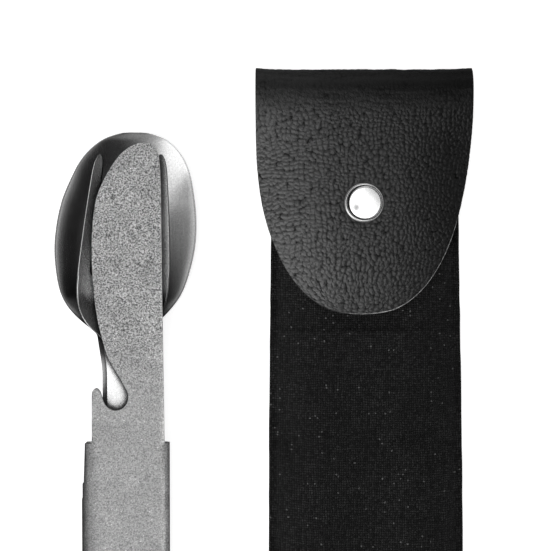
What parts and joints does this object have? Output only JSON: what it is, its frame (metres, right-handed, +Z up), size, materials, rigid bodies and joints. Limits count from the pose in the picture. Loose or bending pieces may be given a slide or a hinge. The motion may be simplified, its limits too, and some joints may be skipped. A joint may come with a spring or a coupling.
{
  "type": "picnic cutlery",
  "caption": "Nesting steel picnic cutlery: fork and spoon slide out of a channel-handled knife, with a canvas pouch closed by a leather snap flap.",
  "frame": {"origin": "centre of the pouch's flat back, at mid length, on the table", "axes": "+Z up from the table, +Y towards the pouch's mouth and the cutlery's heads, +X across, away from the cutlery"},
  "size_m": [0.126, 0.2182, 0.0165],
  "materials": {
    "tumbled_steel": "tumbled matt grey",
    "polished_steel": "satin polished",
    "black_canvas": "plain weave, matt",
    "black_leather": "pebbled grain, low sheen",
    "black_thread": "bonded thread",
    "snap_nickel": "bright nickel plate",
    "spring_steel": "drawn wire"
  },
  "bodies": {
    "pouch": {"canvas_back": "black_canvas", "canvas_front": "black_canvas", "side_seam_thread": "black_thread", "flap_anchor": "black_leather", "anchor_stitches": "black_thread", "snap_stud": "snap_nickel", "snap_post": "snap_nickel"},
    "flap": {"flap": "black_leather", "flap_fold": "black_leather", "snap_cap": "snap_nickel", "snap_socket": "snap_nickel", "snap_spring": "spring_steel"},
    "knife": {"knife": "tumbled_steel"},
    "spoon": {"spoon": "polished_steel"},
    "fork": {"fork": "polished_steel"}
  },
  "joints": [
    {"name": "flap_hinge", "type": "hinge", "parent": "pouch", "child": "flap", "pos_m": [0, 0.1016, 0.00715], "axis": [-1, 0, 0], "range_deg": [0, 172], "deforming": ["flap_fold", "snap_spring"]},
    {"name": "cutlery_lift", "type": "slide", "parent": "pouch", "child": "knife", "axis": [0, 0, 1], "range_m": [0, 0.05]},
    {"name": "spoon_slide", "type": "slide", "parent": "knife", "child": "spoon", "axis": [0, 0.9987, 0.0502], "range_m": [0, 0.11]},
    {"name": "fork_slide", "type": "slide", "parent": "spoon", "child": "fork", "axis": [0, 0.9987, 0.0502], "range_m": [0, 0.11]}
  ]
}
